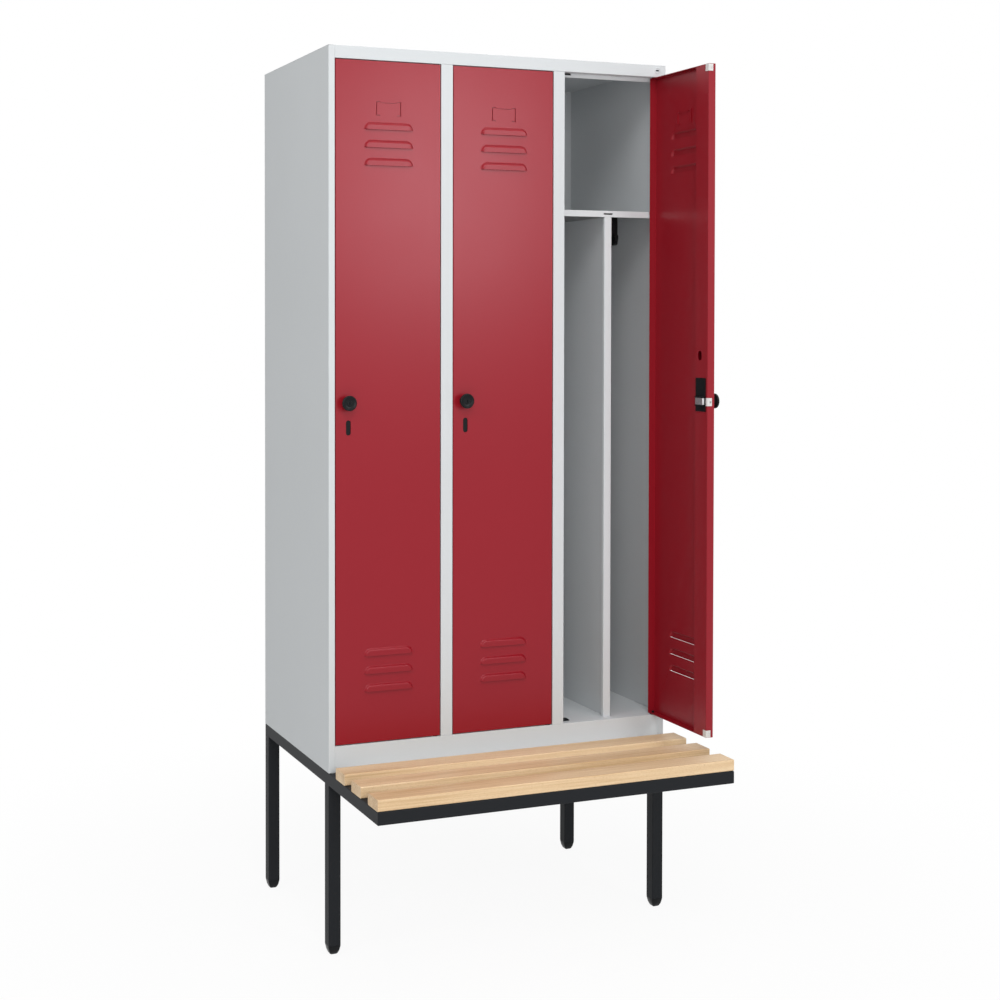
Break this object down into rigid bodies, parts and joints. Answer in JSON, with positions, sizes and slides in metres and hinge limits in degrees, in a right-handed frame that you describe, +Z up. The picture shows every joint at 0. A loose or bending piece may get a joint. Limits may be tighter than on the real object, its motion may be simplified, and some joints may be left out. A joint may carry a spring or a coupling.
{
  "type": "locker with bench",
  "caption": "Steel clothes locker with louvred hinged doors, hat shelves and partitions, on a tubular base whose rails run forward to carry a slatted wooden bench.",
  "frame": {"origin": "on the floor, in the middle of the object's box, with the third door standing open at a right angle", "axes": "+X to the right seen from the front, +Y from the front face towards the back wall, +Z up"},
  "size_m": [0.9064, 0.815, 2.1303],
  "materials": {
    "body_grey": "light grey powder coat, semi-gloss",
    "door_red": "ruby red powder coat, semi-gloss",
    "frame_black": "black-grey powder coat, satin",
    "beech": "clear-lacquered beech",
    "black_plastic": "moulded, satin",
    "white_plastic": "moulded, soft",
    "zinc": "zinc-plated"
  },
  "bodies": {
    "root": {"side_panel_left": "body_grey", "side_panel_right": "body_grey", "divider_1": "body_grey", "divider_2": "body_grey", "roof": "body_grey", "floor": "body_grey", "back_panel": "body_grey", "shelf_1": "body_grey", "shelf_2": "body_grey", "shelf_3": "body_grey", "partition_1": "body_grey", "partition_2": "body_grey", "partition_3": "body_grey", "coat_hook_1": "black_plastic", "coat_hook_2": "black_plastic", "coat_hook_3": "black_plastic", "side_frame_left": "frame_black", "side_frame_right": "frame_black", "front_rail": "frame_black", "middle_rail": "frame_black", "rear_rail": "frame_black", "foot_front_left": "black_plastic", "foot_front_right": "black_plastic", "foot_rear_left": "black_plastic", "foot_rear_right": "black_plastic", "bench_slat_1": "beech", "bench_slat_2": "beech", "bench_slat_3": "beech", "bottom_pivot_1": "black_plastic", "bottom_pivot_2": "black_plastic", "bottom_pivot_3": "black_plastic", "top_bush_1": "black_plastic", "top_bush_2": "black_plastic", "top_bush_3": "black_plastic"},
    "door_1": {"door_leaf_1": "door_red", "lock_channel_1": "door_red", "lock_case_1": "black_plastic", "top_pin_1": "zinc", "bumper_bottom_1": "white_plastic", "bumper_top_1": "white_plastic"},
    "door_2": {"door_leaf_2": "door_red", "lock_channel_2": "door_red", "lock_case_2": "black_plastic", "top_pin_2": "zinc", "bumper_bottom_2": "white_plastic", "bumper_top_2": "white_plastic"},
    "door_3": {"door_leaf_3": "door_red", "lock_channel_3": "door_red", "lock_case_3": "black_plastic", "top_pin_3": "zinc", "bumper_bottom_3": "white_plastic", "bumper_top_3": "white_plastic"},
    "lock_knob_1": {"knob_1": "black_plastic"},
    "lock_knob_2": {"knob_2": "black_plastic"},
    "lock_knob_3": {"knob_3": "black_plastic"},
    "lock_bolt_1": {"bolt_1": "zinc"},
    "lock_bolt_2": {"bolt_2": "zinc"},
    "lock_bolt_3": {"bolt_3": "zinc"}
  },
  "joints": [
    {"name": "door_1_hinge", "type": "hinge", "parent": "root", "child": "door_1", "pos_m": [-0.17785, -0.0835, 1.2968], "axis": [0, 0, 1], "range_deg": [0, 93]},
    {"name": "door_2_hinge", "type": "hinge", "parent": "root", "child": "door_2", "pos_m": [0.12215, -0.0835, 1.2968], "axis": [0, 0, 1], "range_deg": [0, 93]},
    {"name": "door_3_hinge", "type": "hinge", "parent": "root", "child": "door_3", "pos_m": [0.42215, -0.0835, 1.2968], "axis": [0, 0, 1], "range_deg": [-90, 3]},
    {"name": "knob_1_turn", "type": "hinge", "parent": "door_1", "child": "lock_knob_1", "pos_m": [-0.40815, -0.0925, 1.2968], "axis": [0, 1, 0], "range_deg": [0, 90]},
    {"name": "knob_2_turn", "type": "hinge", "parent": "door_2", "child": "lock_knob_2", "pos_m": [-0.10815, -0.0925, 1.2968], "axis": [0, 1, 0], "range_deg": [0, 90]},
    {"name": "knob_3_turn", "type": "hinge", "parent": "door_3", "child": "lock_knob_3", "pos_m": [0.43115, -0.3138, 1.2968], "axis": [-1, 0, 0], "range_deg": [0, 90]},
    {"name": "bolt_1_slide", "type": "slide", "parent": "door_1", "child": "lock_bolt_1", "axis": [-1, 0, 0], "range_m": [0, 0.02]},
    {"name": "bolt_2_slide", "type": "slide", "parent": "door_2", "child": "lock_bolt_2", "axis": [-1, 0, 0], "range_m": [0, 0.02]},
    {"name": "bolt_3_slide", "type": "slide", "parent": "door_3", "child": "lock_bolt_3", "axis": [0, -1, 0], "range_m": [0, 0.02]}
  ],
  "couplings": [
    {"joint": "bolt_1_slide", "follows": "knob_1_turn", "m_per_rad": 0.0127},
    {"joint": "bolt_2_slide", "follows": "knob_2_turn", "m_per_rad": 0.0127},
    {"joint": "bolt_3_slide", "follows": "knob_3_turn", "m_per_rad": 0.0127}
  ]
}
